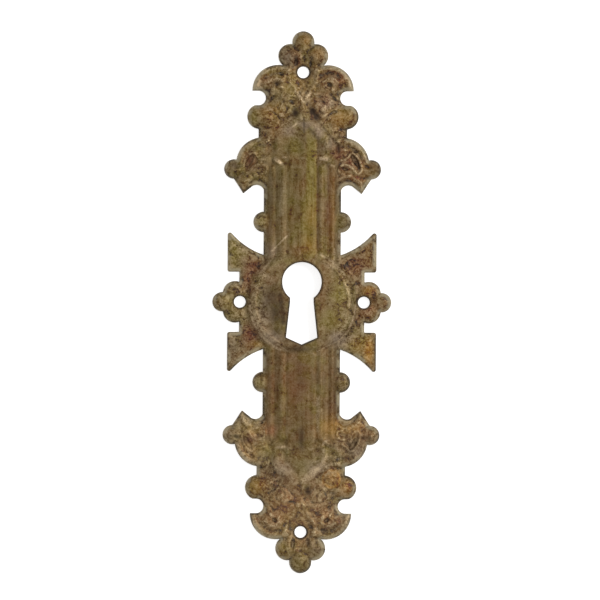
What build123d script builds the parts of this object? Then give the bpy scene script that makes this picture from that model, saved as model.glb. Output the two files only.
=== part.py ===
from build123d import *
from math import cos, radians, sin, tan
import os

# Keyhole escutcheon: one plate of brass sheet, pressed into relief and pierced for a key and four pins.
# Millimetres. X is across the plate, Y up it and Z out of its face; the back lies on Z = 0.
# The outline and the relief repeat in all four quarters, so each is drawn once, at positive X and Y.
# A rise is a height above the flat of the face. Small round forms are cut in flat facets.

# Sheet
sheet = 0.8
overlap = 0.05

# Shaft: the straight reeded part between the boss and the leaves
shaft_half = 6.95
shaft_rim = 0.5
shaft_top_y = 25.4
shaft_bead_y = 14.4
shaft_bead_radius = 1.85
panel_half = 2.5
panel_ridge_rise = 1.6
panel_edge_rise = 1.35
reed_1_rise = 1.5
reed_1_foot_rise = 1.15
reed_1_width = 1.35
fillet_width = 0.5
fillet_rise = 1.05
reed_2_rise = 1.0
reed_2_foot_rise = 0.7
reed_2_width = 1.1
quirk = 0.25

# Boss: the domed disc around the keyhole, with a ring at its shoulder
boss_radius = 9.8
boss_ring_radius = 8.3
boss_ring_width = 1.0
boss_ring_rise = 1.8
boss_shoulder_rise = 1.6
boss_tier_radius = 5.2
boss_tier_rise = 2.05
boss_crown_rise = 2.3

# Wings: the four horned corners beside the boss
wing_half = 13.4
wing_tip_y = 13.2
wing_root_y = 8.5
wing_hollow = 0.6
wing_step_x = 11.27
wing_step_y = 5.4
wing_rounding = 0.4

# Side lugs: a trefoil with a pin hole, at each end of the cross
lug_lobe_x = 12.05
lug_lobe_y = 1.6
lug_lobe_radius = 2.15
lug_lobe_rise = 0.45
lug_bead_x = 14.35
lug_bead_radius = 1.75
lug_bead_rise = 0.65

# Crockets: the curled leaves at the top of the shaft
crocket_x = 7.2
crocket_y = 24.85
crocket_radius = 4.77
crocket_bead_x = 12.37
crocket_bead_y = 23.9
crocket_bead_radius = 1.75
crocket_tip_x = 10.65
crocket_tip_y = 19.5
armpit_gap = 1.3
armpit_x = shaft_half + armpit_gap
armpit_y = 19.65
armpit_radius = 1.4
armpit_end = 45
crocket_rim_span = (12, 88)
crescent_x = 8.6
crescent_y = 24.6
crescent_radius = 2.15
crescent_span = (-47, 61)
spiral_x = 7.4
spiral_y = 23.8
spiral_radius = 1.1
spiral_span = (35, 235)

# Gable: a roll moulding in a chevron over the end of the shaft
gable_height = 7.4
gable_apex_y = shaft_top_y + gable_height
gable_foot_x = 5.2
gable_slope = 45
gable_half = 1.25
gable_rise = 1.6
field_rise = 1.0

# Head: side lobes, round bites and an arched leaf, above a narrow neck
neck_half = 7.97
lobe_x = 7.8
lobe_y = 33.35
lobe_radius = 2.22
bite_x = 8.0
bite_y = 36.7
bite_radius = 1.3
leaf_x = 4.5
leaf_y = 38.05
leaf_radius = 4.62
leaf_rim_span = (5, 118)
volute_x = 3.4
volute_y = 35.0
volute_radius = 1.3
calyx_x = 0.55
calyx_foot_y = 35.6
calyx_spread = 2.1
calyx_top_y = 39.4
calyx_width = 1.0

# Finial: two lobes and a bead above the upper pin hole
finial_lobe_x = 2.34
finial_lobe_y = 44.3
finial_lobe_radius = 2.16
finial_bead_y = 46.75
finial_bead_radius = 2.0
finial_rib_top_y = 46.2
finial_rib_foot_y = 42.7

# Domes, rolls and leaves
swell_margin = 0.15
dome_sides = 10
dome_wall = 0.6
dome_wall_taper = 25
dome_cap_taper = 60
hollow_sides = 8
hollow_taper = 30
bead_rise = 1.1
lobe_rise = 0.8
rim_width = 1.3
rim_rise = 0.75
roll_top = 0.4
ridge_width = 0.7
ridge_rise = 0.55
petal_shoulder = 0.4
petal_taper = 25

# Piercings
pin_hole_radius = 1.05
end_pin_y = 41.35
side_pin_x = 11.16
key_stem_y = 3.65
key_stem_radius = 3.53
key_slot_top_half = 2.1
key_slot_foot_half = 2.8
key_slot_foot_y = -6.35
key_slot_tip_y = -7.6


def wing_face():
    """One horned corner of the cross, from the plate's centre outwards."""
    tip = (wing_half, wing_tip_y)
    root = (shaft_half, wing_root_y)
    with BuildSketch() as wing:
        with BuildLine():
            SagittaArc(root, tip, -wing_hollow)
            Polyline(
                tip,
                (wing_half, wing_step_y),
                (wing_step_x, wing_step_y),
                (wing_step_x, 0),
                (0, 0),
                (0, wing_root_y),
                root,
            )
        make_face()
        horn = wing.vertices().group_by(Axis.X)[-1]
        fillet(horn, wing_rounding)
    return wing.sketch


def crocket_face():
    """A crocket's round leaf and pointed foot, with the hollow between the foot and the shaft."""
    reach_x = armpit_radius * cos(radians(armpit_end))
    reach_y = armpit_radius * sin(radians(armpit_end))
    with BuildSketch() as leaf:
        with Locations((crocket_x, crocket_y)):
            Circle(crocket_radius)
        with BuildLine():
            Polyline(
                (armpit_x + reach_x, armpit_y + reach_y),
                (crocket_tip_x, crocket_tip_y),
                (crocket_bead_x, crocket_bead_y - crocket_bead_radius),
                (crocket_bead_x, crocket_bead_y),
                (crocket_x, crocket_y),
                close=True,
            )
        make_face()
        with Locations((armpit_x, armpit_y)):
            Circle(armpit_radius, mode=Mode.SUBTRACT)
        with Locations((crocket_bead_x, crocket_bead_y)):
            Circle(crocket_bead_radius)
    return leaf.sketch


with BuildSketch() as outline:
    add(crocket_face())
    with Locations((shaft_half / 2, crocket_y / 2)):
        Rectangle(shaft_half, crocket_y)
    with Locations((neck_half / 2, (crocket_y + bite_y) / 2)):
        Rectangle(neck_half, bite_y - crocket_y)
    with Locations((lobe_x, lobe_y)):
        Circle(lobe_radius)
    with Locations((leaf_x, leaf_y)):
        Circle(leaf_radius)
    with Locations((finial_lobe_x, finial_lobe_y)):
        Circle(finial_lobe_radius)
    with Locations((0, finial_bead_y)):
        Circle(finial_bead_radius)
    with BuildLine():
        Polyline(
            (0, crocket_y),
            (leaf_x, leaf_y),
            (finial_lobe_x, finial_lobe_y),
            (0, finial_bead_y),
            close=True,
        )
    make_face()
    with Locations((bite_x, bite_y)):
        Circle(bite_radius, mode=Mode.SUBTRACT)
    with Locations((bite_x + bite_radius, bite_y)):
        Rectangle(2 * bite_radius, 2 * bite_radius, mode=Mode.SUBTRACT)
    with Locations((shaft_half, shaft_bead_y)):
        Circle(shaft_bead_radius)
    add(wing_face())
    with Locations((lug_lobe_x, lug_lobe_y)):
        Circle(lug_lobe_radius)
    with Locations((lug_bead_x, 0)):
        Circle(lug_bead_radius)
    with Locations((lug_bead_x / 2, lug_lobe_y / 2)):
        Rectangle(lug_bead_x, lug_lobe_y)
    mirror(about=Plane.YZ)
    mirror(about=Plane.XZ)

with BuildSketch() as piercings:
    with Locations((0, end_pin_y), (0, -end_pin_y), (side_pin_x, 0), (-side_pin_x, 0)):
        Circle(pin_hole_radius)
    with Locations((0, key_stem_y)):
        Circle(key_stem_radius)
    with BuildLine():
        Polyline(
            (key_slot_top_half, key_stem_y),
            (key_slot_top_half, 0),
            (key_slot_foot_half, key_slot_foot_y),
            (0, key_slot_tip_y),
            (-key_slot_foot_half, key_slot_foot_y),
            (-key_slot_top_half, 0),
            (-key_slot_top_half, key_stem_y),
            close=True,
        )
    make_face()


def floor_of(skin):
    """Where a raised form starts: just under the face, or just under the back for its hollow."""
    return -overlap if skin else sheet - overlap


def dome(x, y, radius, rise, skin):
    """A round swelling of the sheet. A skin of zero gives its face, and of one sheet its hollow back."""
    height = sheet + rise - skin - floor_of(skin)
    with BuildPart() as swelling:
        with BuildSketch(Plane((x, y, floor_of(skin)))):
            RegularPolygon(radius - skin / 2, hollow_sides if skin else dome_sides)
        if skin:
            extrude(amount=height, taper=hollow_taper)
        else:
            extrude(amount=height * dome_wall, taper=dome_wall_taper)
            tier = swelling.faces().sort_by(Axis.Z)[-1]
            extrude(tier, amount=height * (1 - dome_wall), taper=dome_cap_taper)
    return swelling.part


def shaft(skin):
    """The reeded moulding: one profile across the plate, drawn out along Y."""
    reed_1_start = panel_half + quirk
    reed_1_end = reed_1_start + reed_1_width
    fillet_end = reed_1_end + fillet_width
    reed_2_start = fillet_end + quirk
    reed_2_end = reed_2_start + reed_2_width
    foot = shaft_half - shaft_rim
    face = [
        (0, panel_ridge_rise),
        (panel_half, panel_edge_rise),
        (reed_1_start, reed_1_foot_rise),
        (reed_1_start + quirk, reed_1_rise),
        (reed_1_end - quirk, reed_1_rise),
        (reed_1_end, fillet_rise),
        (fillet_end, fillet_rise),
        (reed_2_start, reed_2_foot_rise),
        (reed_2_start + quirk, reed_2_rise),
        (reed_2_end - quirk, reed_2_rise),
        (reed_2_end, reed_2_foot_rise),
        (foot, -overlap),
        (0, -overlap),
    ]
    back = [
        (0, panel_ridge_rise),
        (panel_half, reed_1_foot_rise),
        (fillet_end - skin / 2, reed_2_foot_rise),
        (reed_2_end - skin, reed_2_foot_rise),
        (foot - skin, -overlap),
        (0, -overlap),
    ]
    with BuildPart() as moulding:
        with BuildSketch(Plane.XZ):
            with BuildLine():
                Polyline([(x, z + sheet - skin) for x, z in (back if skin else face)], close=True)
            make_face()
            mirror(about=Plane.YZ)
        extrude(amount=shaft_top_y - skin, both=True)
    return moulding.part


def boss(skin):
    """The domed disc around the keyhole, turned about Z."""
    wall = boss_radius - skin
    ring = boss_ring_radius - skin
    face = [
        (0, boss_crown_rise),
        (boss_tier_radius, boss_tier_rise),
        (ring - boss_ring_width / 2, boss_shoulder_rise),
        (ring - boss_ring_width / 4, boss_ring_rise),
        (ring + boss_ring_width / 4, boss_ring_rise),
        (wall, -overlap),
        (0, -overlap),
    ]
    back = [
        (0, boss_crown_rise),
        (boss_tier_radius, boss_tier_rise),
        (ring, boss_shoulder_rise),
        (wall, -overlap),
        (0, -overlap),
    ]
    with BuildPart() as disc:
        with BuildSketch(Plane.XZ):
            with BuildLine():
                Polyline([(r, z + sheet - skin) for r, z in (back if skin else face)], close=True)
            make_face()
        revolve(axis=Axis.Z)
    return disc.part


def roll_section(width, rise):
    """The section of a raised roll, in three facets, standing on the face."""
    with BuildSketch() as section:
        with BuildLine():
            Polyline(
                (-width / 2, -overlap),
                (width / 2, -overlap),
                (roll_top * width / 2, rise),
                (-roll_top * width / 2, rise),
                close=True,
            )
        make_face()
    return section.sketch


def roll(x, y, radius, width, rise, span):
    """A raised roll bent to part of a ring. The span holds its first and last angles, in degrees."""
    start, end = span
    ray = Vector(cos(radians(start)), sin(radians(start)))
    with BuildPart() as ring:
        with BuildSketch(Plane((x, y, sheet), x_dir=ray, z_dir=ray.cross(Vector(0, 0, 1)))):
            with Locations((radius, 0)):
                add(roll_section(width, rise))
        revolve(axis=Axis((x, y, sheet), (0, 0, 1)), revolution_arc=end - start)
    return ring.part


def gable_bar():
    """One raking roll of the gable, mitred at the apex."""
    run = Vector(cos(radians(gable_slope)), -sin(radians(gable_slope)))
    apex = Vector(0, gable_apex_y, sheet)
    length = gable_foot_x / cos(radians(gable_slope))
    with BuildPart() as bar:
        with BuildSketch(Plane(apex - run * length, x_dir=Vector(0, 0, 1).cross(run), z_dir=run)):
            add(roll_section(2 * gable_half, gable_rise))
        extrude(amount=2 * length)
        split(bisect_by=Plane.YZ, keep=Keep.TOP)
    return bar.part


def gable_field(skin):
    """The plain field under the gable, down to the head of the shaft."""
    foot_y = gable_apex_y - gable_foot_x * tan(radians(gable_slope))
    start_y = shaft_top_y - overlap - 2 * skin
    with BuildPart() as field:
        with BuildSketch(Plane.XY.offset(floor_of(skin))):
            with BuildLine():
                Polyline(
                    (0, start_y),
                    (gable_foot_x - skin, start_y),
                    (gable_foot_x - skin, foot_y),
                    (0, gable_apex_y - skin / 2),
                    close=True,
                )
            make_face()
        extrude(amount=sheet + field_rise - skin - floor_of(skin))
    return field.part


def gable_panel():
    """The shaft's ridged panel, run on under the gable to its apex."""
    across = Vector(sin(radians(gable_slope)), cos(radians(gable_slope)))
    with BuildPart() as panel:
        with BuildSketch(Plane.XZ.offset(-gable_apex_y)):
            with BuildLine():
                Polyline(
                    (0, sheet - overlap),
                    (panel_half, sheet - overlap),
                    (panel_half, sheet + panel_edge_rise),
                    (0, sheet + panel_ridge_rise),
                    close=True,
                )
            make_face()
        extrude(amount=gable_apex_y - shaft_top_y + overlap)
        split(bisect_by=Plane((0, gable_apex_y, 0), z_dir=across), keep=Keep.BOTTOM)
    return panel.part


def petal(start, end, width, rise):
    """A pointed leaf rising to a narrow ridge, broadest near its start."""
    start = Vector(*start)
    run = Vector(*end) - start
    side = run.cross(Vector(0, 0, 1)).normalized() * (width / 2)
    shoulder = start + run * petal_shoulder
    with BuildPart() as blade:
        with BuildSketch(Plane.XY.offset(sheet - overlap)):
            with BuildLine():
                Polyline(start, shoulder + side, start + run, shoulder - side, close=True)
            make_face()
        extrude(amount=rise + overlap, taper=petal_taper)
    return blade.part


def axis_domes(skin):
    """The beads on the centre lines: at the ends of the plate and of its cross."""
    with BuildPart() as beads:
        for side in (1, -1):
            add(dome(side * lug_bead_x, 0, lug_bead_radius - swell_margin, lug_bead_rise, skin))
            add(dome(0, side * finial_bead_y, finial_bead_radius - swell_margin, bead_rise, skin))
    return beads.part


def quarter_domes(skin):
    """The swellings that stand clear of both centre lines."""
    with BuildPart() as swellings:
        add(dome(shaft_half, shaft_bead_y, shaft_bead_radius - swell_margin, bead_rise, skin))
        add(dome(crocket_bead_x, crocket_bead_y, crocket_bead_radius - swell_margin, bead_rise, skin))
        add(dome(lobe_x - swell_margin, lobe_y - swell_margin, lobe_radius - swell_margin, lobe_rise, skin))
        add(dome(finial_lobe_x, finial_lobe_y, finial_lobe_radius - swell_margin, lobe_rise, skin))
    return swellings.part


rim_inset = swell_margin + rim_width / 2

with BuildPart() as ornament:
    add(quarter_domes(0))
    add(roll(crocket_x, crocket_y, crocket_radius - rim_inset, rim_width, rim_rise, crocket_rim_span))
    add(roll(crescent_x, crescent_y, crescent_radius, ridge_width, ridge_rise, crescent_span))
    add(roll(spiral_x, spiral_y, spiral_radius, ridge_width, ridge_rise, spiral_span))
    add(roll(leaf_x, leaf_y, leaf_radius - rim_inset, rim_width, rim_rise, leaf_rim_span))
    add(dome(volute_x, volute_y, volute_radius, ridge_rise, 0))
    add(petal((calyx_x, calyx_foot_y), (calyx_spread, calyx_top_y), calyx_width, ridge_rise))
    add(dome(lug_lobe_x, lug_lobe_y, lug_lobe_radius - swell_margin, lug_lobe_rise, 0))
    add(gable_bar())
    add(gable_field(0))
    add(gable_panel())
    mirror(about=Plane.YZ)
    mirror(about=Plane.XZ)

with BuildPart() as hollows:
    add(quarter_domes(sheet))
    add(gable_field(sheet))
    mirror(about=Plane.YZ)
    mirror(about=Plane.XZ)

with BuildPart() as escutcheon:
    add(outline.sketch)
    extrude(amount=sheet)
    add(shaft(0))
    add(boss(0))
    add(ornament.part)
    add(axis_domes(0))
    for side in (1, -1):
        add(petal((0, side * finial_rib_top_y), (0, side * finial_rib_foot_y), calyx_width, lobe_rise))
    add(shaft(sheet), mode=Mode.SUBTRACT)
    add(boss(sheet), mode=Mode.SUBTRACT)
    add(hollows.part, mode=Mode.SUBTRACT)
    add(axis_domes(sheet), mode=Mode.SUBTRACT)
    with BuildSketch(Plane.XY.offset(-sheet)):
        add(piercings.sketch)
    extrude(amount=sheet + boss_crown_rise + 2 * sheet, mode=Mode.SUBTRACT)

escutcheon.part.label = "escutcheon"
os.makedirs("parts", exist_ok=True)
export_step(escutcheon.part, "parts/escutcheon.step")
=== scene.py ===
from math import cos, radians, sin, tan

import bpy
import numpy as np
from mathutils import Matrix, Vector
from mathutils.bvhtree import BVHTree
from mathutils.kdtree import KDTree


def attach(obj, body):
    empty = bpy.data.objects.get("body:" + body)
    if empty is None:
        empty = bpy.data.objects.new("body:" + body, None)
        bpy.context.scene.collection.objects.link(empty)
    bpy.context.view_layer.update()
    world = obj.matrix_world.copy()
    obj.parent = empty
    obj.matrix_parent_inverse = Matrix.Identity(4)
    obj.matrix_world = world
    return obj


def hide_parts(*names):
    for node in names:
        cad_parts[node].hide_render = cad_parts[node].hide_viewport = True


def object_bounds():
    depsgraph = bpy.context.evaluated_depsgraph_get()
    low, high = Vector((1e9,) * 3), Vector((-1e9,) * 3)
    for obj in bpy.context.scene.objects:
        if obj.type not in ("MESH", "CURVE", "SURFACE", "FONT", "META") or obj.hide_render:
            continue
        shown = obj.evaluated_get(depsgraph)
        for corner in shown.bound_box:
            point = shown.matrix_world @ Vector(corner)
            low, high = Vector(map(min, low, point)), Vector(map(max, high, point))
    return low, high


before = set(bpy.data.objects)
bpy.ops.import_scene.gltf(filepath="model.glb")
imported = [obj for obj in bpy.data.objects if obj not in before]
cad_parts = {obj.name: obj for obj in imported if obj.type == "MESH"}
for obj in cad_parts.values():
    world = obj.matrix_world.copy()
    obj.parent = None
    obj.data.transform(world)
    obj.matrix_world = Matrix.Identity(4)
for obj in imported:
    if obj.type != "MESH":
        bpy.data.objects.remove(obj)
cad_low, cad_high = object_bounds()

# Keyhole escutcheon: a pressed brass plate, dull with age, lying face up on white.
# The outline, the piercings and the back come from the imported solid. The face is one fine skin over it,
# with the same forms rounded and worn, and the finer ornament added.
# Sizes are in millimetres and angles in degrees. A rise is a height above the flat of the face.
MM = 0.001
UP = Vector((0, 0, 1))
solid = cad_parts["escutcheon"].data

# Photograph's frame: pixels across it, the plate's centre, size and turn in it, and the camera
image_side = 600
centre_px = (301.8, 302.2)
mm_per_px = 0.18
plate_turn = 0.36
camera_height = 700
sensor_width = 36

# Skin: its grid, the sheet, the rounded edge, the limits of its height and the rays that find the solid
pitch = 0.155
sheet = 0.8
edge_round = 0.42
edge_drop = 0.8
headroom = 0.004
lowest_face = 0.3
least_wall = 0.1
rim_nudge = 0.03
wall_nudge = 0.05
upright = 0.01
hollow_wall_top = sheet / 2
ray_start = -10
halvings = 12
edges_tried = 4
tiny = 1e-12

# Softness of the forms, and the spans over which a place counts as proud or sunk
form_blur = 0.2
leaf_blur = 0.09
proud_span = 0.45
sunk_span = 1.6

# Shaft
shaft_half = 6.95
shaft_rim = 0.5
shaft_top_y = 25.4
shaft_end_run = 0.8
shaft_bead_y = 14.4
shaft_bead_radius = 1.85
panel_half = 2.5
panel_ridge_rise = 1.6
panel_edge_rise = 1.45
panel_apex_rise = 1.2
reed_1_rise = 1.48
reed_1_foot_rise = 1.2
reed_1_width = 1.35
fillet_width = 0.5
fillet_rise = 1.05
reed_2_rise = 1.0
reed_2_foot_rise = 0.75
reed_2_width = 1.1
quirk = 0.25

# Boss
boss_radius = 9.8
boss_ring_radius = 8.35
boss_ring_width = 0.6
boss_ring_rise = 1.78
boss_shoulder_rise = 1.6
boss_foot_radius = boss_radius + 0.6
boss_crown_rise = 2.19

# Gable and the ground of the leaves
gable_apex_y = shaft_top_y + 7.4
gable_foot_x = 5.2
gable_foot_reach = 1.2
gable_foot_run = 2.2
gable_slope = 45
gable_crest = 0.1
gable_outer = 2.4
gable_inner = 2.0
gable_rise = 1.4
field_rise = 1.0
leaf_tip_foot_rise = field_rise + 0.1
leaf_start_y = 18.0
leaf_swell = 0.75
leaf_swell_reach = 2.2
leaf_swell_power = 1.5

# Lugs, crockets, head and finial, as the outline has them
lug_bead = (14.35, 0.0)
lug_bead_radius = 1.75
lug_lobe = (12.05, 1.6)
lug_lobe_radius = 2.15
crocket = (7.2, 24.85)
crocket_radius = 4.77
crocket_bead = (12.37, 23.9)
crocket_bead_radius = 1.75
lobe = (7.65, 33.2)
lobe_radius = 2.22
leaf = (4.5, 38.05)
leaf_radius = 4.62
finial_lobe = (2.34, 44.3)
finial_lobe_radius = 2.16
finial_bead = (0.0, 46.75)
finial_bead_radius = 2.0

# Pin holes
side_pin_x = 11.16
end_pin_y = 41.35
pin_reach = 1.4

# Domes: each a centre, a radius, a rise and a fullness
shaft_ball = ((shaft_half, shaft_bead_y), shaft_bead_radius - 0.06, 0.9, 0.75)
lug_ball = (lug_bead, lug_bead_radius - 0.06, 0.65, 0.8)
lug_dome = (lug_lobe, lug_lobe_radius - 0.08, 0.45, 0.8)
crocket_ball = (crocket_bead, crocket_bead_radius - 0.08, 0.7, 0.8)
lobe_dome = (lobe, lobe_radius - 0.1, 0.4, 0.9)
volute_dome = ((3.45, 34.9), 1.9, 0.35, 0.9)
petal_dome = (finial_lobe, finial_lobe_radius - 0.06, 0.4, 0.8)
finial_ball = (finial_bead, finial_bead_radius - 0.06, 0.64, 0.8)

# Rolled rims and grooves round the leaves: each a centre, a radius, two angles, a width and a height
rim_inset = 0.6
rim_width = 1.5
rim_rise = 0.42
crocket_rim = (crocket, crocket_radius - rim_inset, 0, 100, rim_width, rim_rise)
crocket_groove = (crocket, 3.2, 45, 95, 0.7, -0.1)
leaf_rim = (leaf, leaf_radius - rim_inset, -2, 122, rim_width, rim_rise)
leaf_groove = (leaf, 3.0, 50, 108, 0.7, -0.12)
lobe_groove = ((6.2, 32.2), 2.1, 95, 235, 0.45, -0.18)

# Lines of the ornament: each some points of a curve, a width and a height
crocket_lip_upper = [(6.9, 25.5), (7.7, 25.7), (8.3, 26.2), (8.7, 26.8), (9.3, 26.6), (10.2, 25.6)]
crocket_lip_lower = [(10.6, 24.4), (10.6, 23.6), (10.1, 23.1), (9.5, 23.3), (8.9, 24.2), (7.9, 24.7)]
crocket_lip_end = [(6.85, 24.5), (6.4, 23.8), (6.6, 23.2), (7.4, 23.0)]
crocket_lip = (crocket_lip_upper + crocket_lip_lower + crocket_lip_end, 0.6, 0.28)
crocket_flare_points = [(5.7, 18.6), (5.75, 20.3), (6.05, 21.4), (6.7, 22.15), (7.6, 22.55), (8.6, 22.75)]
crocket_flare = (crocket_flare_points, 0.8, 0.25)
crocket_foot = ([(9.4, 22.2), (10.3, 21.3), (10.7, 20.3)], 1.3, 0.25)
crocket_vein = ([(6.9, 21.5), (8.2, 22.0), (9.3, 21.4)], 0.5, -0.15)
leaf_edge = ([(7.2, 38.4), (8.9, 38.35)], 0.5, 0.2)
leaf_back = ([(2.3, 39.4), (2.45, 40.4), (2.75, 41.3), (3.5, 42.2)], 0.8, 0.32)
leaf_arch = ([(3.7, 39.6), (4.2, 40.0), (5.0, 40.2), (5.7, 40.0), (6.3, 39.4)], 0.5, 0.34)
leaf_vein = ([(6.3, 36.2), (5.4, 36.7), (4.9, 37.5)], 0.45, -0.18)
calyx_petal = ([(0.9, 37.2), (1.5, 38.4), (2.2, 39.3)], 0.8, 0.2)
calyx_stalk = ([(0, 33.2), (0, 35.8)], 0.9, 0.25)
volute_outer_turn = [(2.0, 35.9), (2.9, 36.2), (3.9, 35.9), (4.5, 35.1)]
volute_inner_turn = [(4.3, 34.2), (3.5, 33.9), (2.9, 34.4), (3.0, 35.1)]
volute_turns = (volute_outer_turn + volute_inner_turn, 0.42, -0.22)
petal_vein = ([(2.6, 42.6), (3.0, 43.6), (2.6, 44.8)], 0.4, -0.15)

# Mounds and pits: each a centre, a reach along, a reach across, the turn of its long axis and a height
leaf_tips = [((3.35, 26.0), 0.9, 0.42, 0, 0.3), ((4.65, 25.2), 0.95, 0.45, 35, 0.3)]
crocket_slit = ((9.5, 25.35), 1.45, 0.45, -59, -0.75)
crocket_pocket = ((9.2, 25.2), 2.2, 1.1, -58, -0.25)
crocket_bead_pit = ((11.7, 24.3), 0.9, 0.45, -20, -0.35)
crocket_lip_pit = ((7.6, 23.9), 0.6, 0.35, 0, -0.25)
crocket_gable_pit = ((6.3, 27.4), 1.1, 0.35, 90, -0.15)
leaf_body = ((5.3, 39.6), 3.0, 2.0, 15, 0.2)
leaflets = [((4.0, 38.7), 0.6, 0.4, 40, 0.3), ((5.35, 38.3), 0.9, 0.4, -62, 0.3)]
leaf_eye = ((4.7, 39.15), 0.6, 0.45, -30, -0.55)
leaf_side_pit = ((6.4, 37.2), 1.2, 0.4, -70, -0.3)
calyx_bud = ((0.45, 36.5), 1.1, 0.6, 62, 0.4)
apex_pits = [((1.5, 34.1), 0.6, 0.45, 120, -0.5), ((1.95, 33.5), 0.8, 0.35, 128, -0.4)]
petal_groove = ((1.35, 43.4), 1.2, 0.45, 84, -0.5)

# Unevenness: each wave has a height, a size and a seed
lattice_side = 256
ring_share = 0.45
ring_wave = (0.4, 3.2, 24)
curl_bends = [(0.5, 1.4, 21), (0.5, 1.4, 22)]
curl_lines = (0.09, 0.8, 23)
curl_bumps = (0.13, 0.7, 25)
curl_margin = 0.8
curl_cover = 0.3
curl_least = 0.3
wear_waves = [(0.04, 3.1, 11), (0.035, 0.9, 12), (0.02, 0.42, 13)]
shaft_wear = 0.5


def ease(share):
    """A share held from 0 to 1, with a soft start and a soft end."""
    share = np.clip(share, 0, 1)
    return share * share * (3 - 2 * share)


def between(field, i, j, u, v):
    """A value among four neighbours of a field, by the shares u and v of the way past i and j."""
    low = field[i, j] * (1 - u) + field[i + 1, j] * u
    high = field[i, j + 1] * (1 - u) + field[i + 1, j + 1] * u
    return low * (1 - v) + high * v


def swell(x, y, centre, radius, rise, fullness):
    """A round dome. A low fullness gives a full, ball-like form and a high one a cone-like one."""
    far = np.hypot(x - centre[0], y - centre[1]) / radius
    return rise * np.clip(1 - far * far, 0, None) ** fullness


def oval(x, y, centre, reach, breadth, turn, height):
    """A soft oval mound or, with a negative height, a pit."""
    along = (x - centre[0]) * cos(radians(turn)) + (y - centre[1]) * sin(radians(turn))
    across = (y - centre[1]) * cos(radians(turn)) - (x - centre[0]) * sin(radians(turn))
    far = (along / reach) ** 2 + (across / breadth) ** 2
    return height * np.clip(1 - far, 0, None)


def ridge(off, width, height, fullness=1):
    """A rounded ridge of that width, from the distance to its line."""
    far = off / (width / 2)
    return height * np.clip(1 - far * far, 0, None) ** fullness


def off_arc(x, y, centre, radius, start, end):
    """Distance to part of a ring between two angles."""
    middle = (start + end) / 2
    turn = np.degrees(np.arctan2(y - centre[1], x - centre[0]))
    turn = (turn - middle + 180) % 360 - 180
    turn = np.radians(np.clip(turn, start - middle, end - middle) + middle)
    return np.hypot(x - centre[0] - radius * np.cos(turn), y - centre[1] - radius * np.sin(turn))


def off_line(x, y, start, end):
    """Distance to a straight line between two points."""
    run_x = end[0] - start[0]
    run_y = end[1] - start[1]
    share = ((x - start[0]) * run_x + (y - start[1]) * run_y) / (run_x * run_x + run_y * run_y)
    share = np.clip(share, 0, 1)
    return np.hypot(x - start[0] - share * run_x, y - start[1] - share * run_y)


def off_curve(x, y, points, steps=6):
    """Distance to a smooth curve through some points."""
    ends = [np.array(point) for point in (points[0], *points, points[-1])]
    off = np.full(np.shape(x), np.inf)
    last = ends[0]
    for a, b, c, d in zip(ends, ends[1:], ends[2:], ends[3:]):
        for step in range(1, steps + 1):
            t = step / steps
            bend = (2 * a - 5 * b + 4 * c - d) * t**2 + (3 * b - a - 3 * c + d) * t**3
            here = 0.5 * (2 * b + (c - a) * t + bend)
            off = np.minimum(off, off_line(x, y, last, here))
            last = here
    return off


def along_arcs(x, y, marks):
    """Ridges along parts of rings, each a centre, a radius, two angles, a width and a height."""
    return [
        ridge(off_arc(x, y, centre, radius, start, end), width, height)
        for centre, radius, start, end, width, height in marks
    ]


def along_curves(x, y, marks):
    """Ridges along curves, each some points, a width and a height."""
    return [ridge(off_curve(x, y, points), width, height) for points, width, height in marks]


def noise(x, y, wave):
    """Smooth random unevenness of a wave's height up and down, with bumps of about its size."""
    height, size, seed = wave
    lattice = np.random.RandomState(seed).uniform(-1, 1, (lattice_side, lattice_side))
    u = x / size + lattice_side // 2
    v = y / size + lattice_side // 2
    i = np.floor(u).astype(int)
    j = np.floor(v).astype(int)
    last = lattice_side - 1
    return height * between(lattice, i % last, j % last, ease(u - i), ease(v - j))


def shaft_relief(x, y):
    """The ridged panel and its two reeds on each side, and the panel's run up under the gable."""
    reed_1 = panel_half + quirk + reed_1_width / 2
    fillet_end = panel_half + quirk + reed_1_width + fillet_width
    reed_2 = fillet_end + quirk + reed_2_width / 2
    foot = shaft_half - shaft_rim / 2
    panel = panel_ridge_rise + (panel_edge_rise - panel_ridge_rise) * x / panel_half
    rise = np.where(x < panel_half, panel, reed_1_foot_rise)
    rise = np.where(x > reed_1 + reed_1_width / 2, fillet_rise, rise)
    rise = np.where(x > fillet_end, reed_2_foot_rise, rise)
    for middle, width, top_rise, foot_rise in (
        (reed_1, reed_1_width, reed_1_rise, reed_1_foot_rise),
        (reed_2, reed_2_width, reed_2_rise, reed_2_foot_rise),
    ):
        reed = foot_rise + ridge(x - middle, width, top_rise - foot_rise)
        rise = np.where(abs(x - middle) < width / 2, np.maximum(reed, rise), rise)
    slope = np.clip((foot - x) / (foot - reed_2 - reed_2_width / 2), 0, 1)
    rise = rise * slope * np.clip((shaft_top_y - y) / shaft_end_run, 0, 1)
    climb = np.clip((y - shaft_top_y) / (gable_apex_y - shaft_top_y), 0, 1)
    tall = panel - (panel_ridge_rise - panel_apex_rise) * climb
    under = (x < panel_half) & (y < gable_apex_y - x * tan(radians(gable_slope)))
    return np.maximum(rise, np.where(under, tall, 0))


def boss_relief(x, y):
    """The domed disc, without the ring at its shoulder."""
    r = np.hypot(x, y)
    inner = boss_ring_radius - boss_ring_width / 2
    outer = boss_ring_radius + boss_ring_width / 4
    crown = np.clip(1 - (r / inner) ** 2, 0, None)
    dome = boss_shoulder_rise + (boss_crown_rise - boss_shoulder_rise) * crown
    return dome * ease((boss_foot_radius - r) / (boss_foot_radius - outer))


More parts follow.
